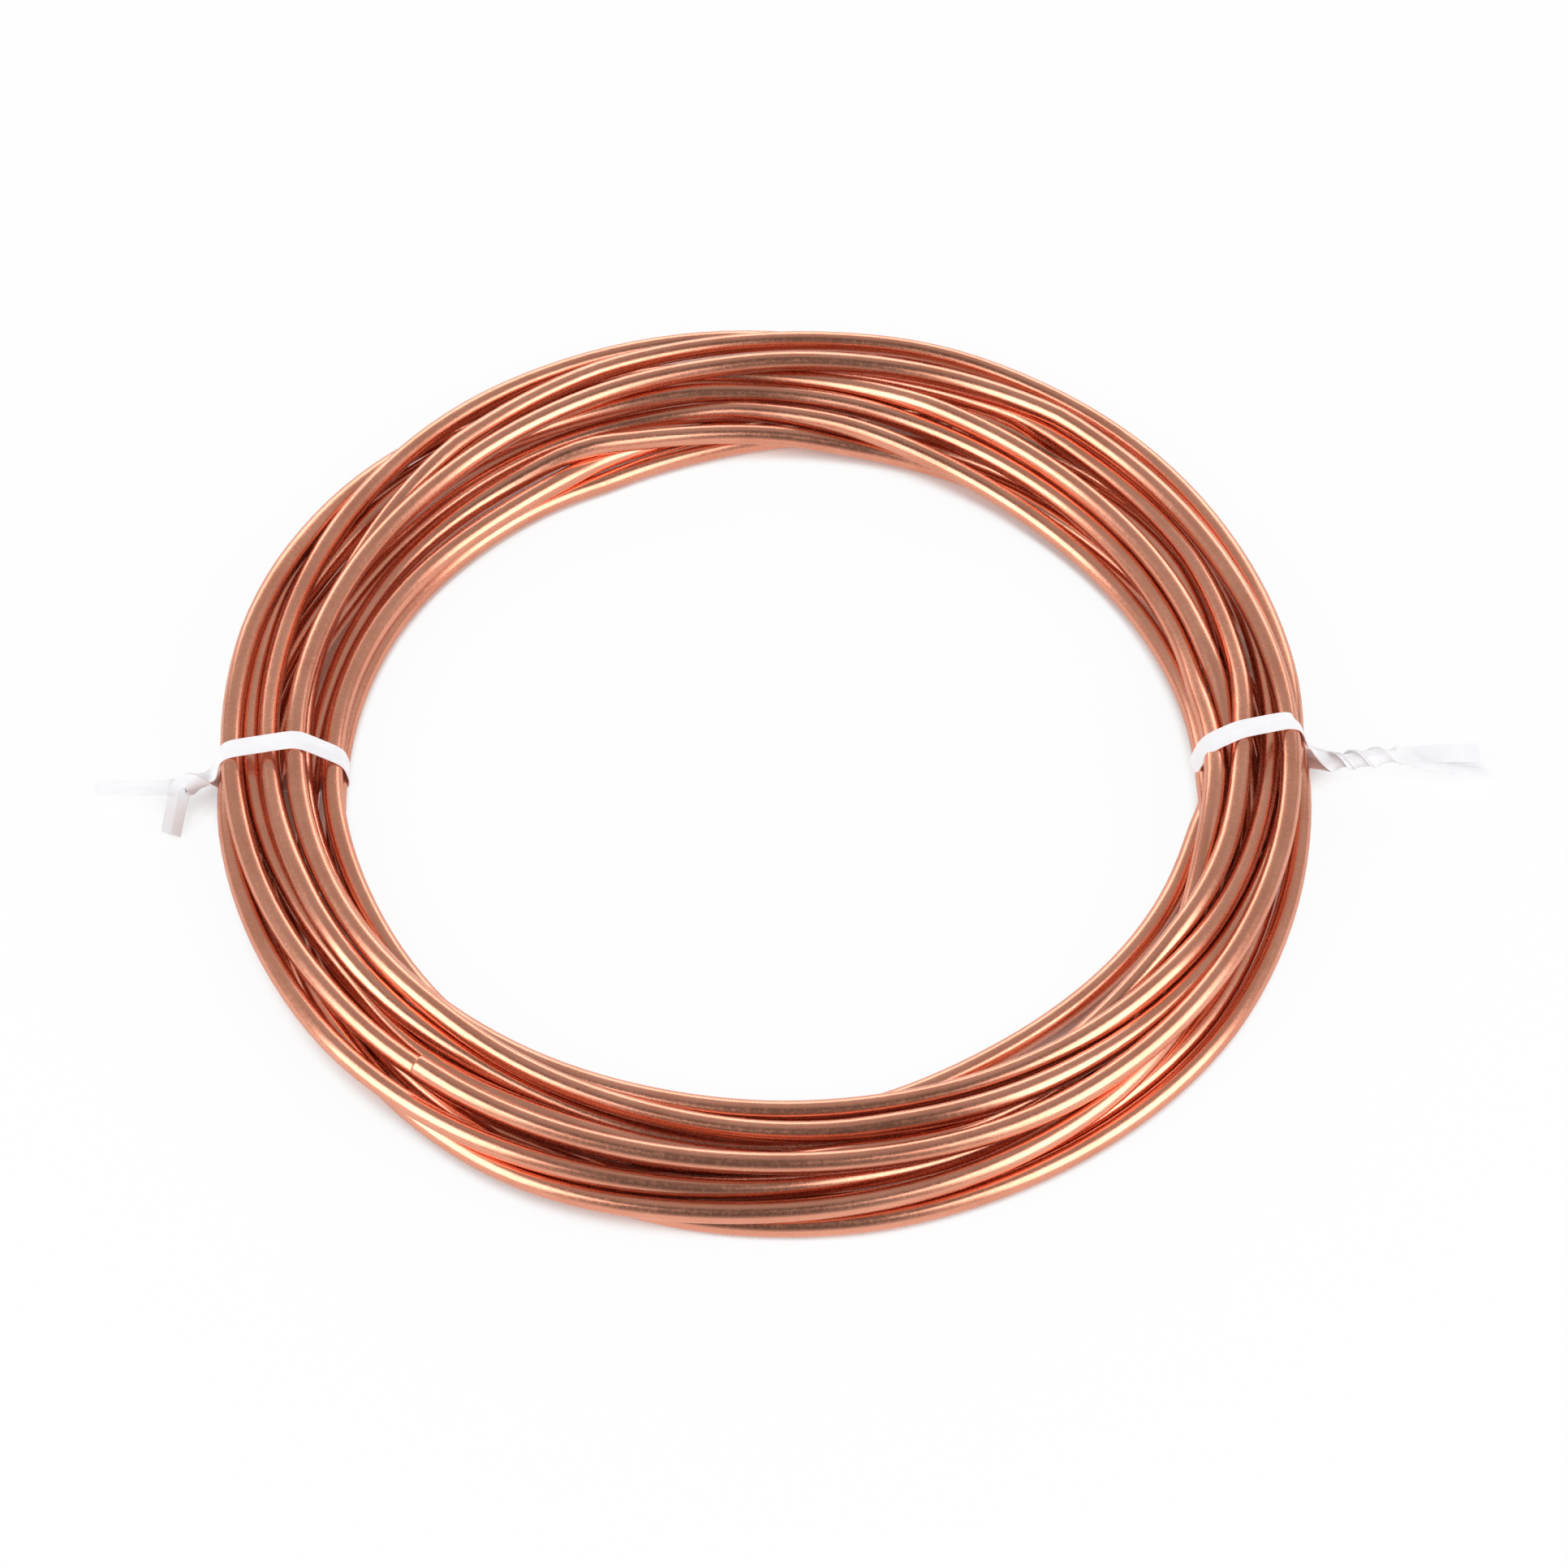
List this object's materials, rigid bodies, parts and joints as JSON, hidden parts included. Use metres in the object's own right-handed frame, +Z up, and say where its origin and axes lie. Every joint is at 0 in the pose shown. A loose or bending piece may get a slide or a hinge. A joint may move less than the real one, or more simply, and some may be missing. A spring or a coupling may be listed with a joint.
{
  "type": "copper tube coil",
  "caption": "Loose coil of soft copper tube, wound in overlapping turns around an open eye and held by two white twist ties.",
  "frame": {"origin": "on the floor at the coil's axis", "axes": "+Z up along the coil's axis, +X towards the right-hand tie, which the coil is longest across"},
  "size_m": [0.3121, 0.2529, 0.0195],
  "materials": {
    "copper": "satin drawn copper",
    "tie_plastic": "white plastic over a steel wire"
  },
  "bodies": {
    "root": {"copper_tube": "copper", "twist_tie_left": "tie_plastic", "twist_tie_right": "tie_plastic"}
  },
  "joints": []
}
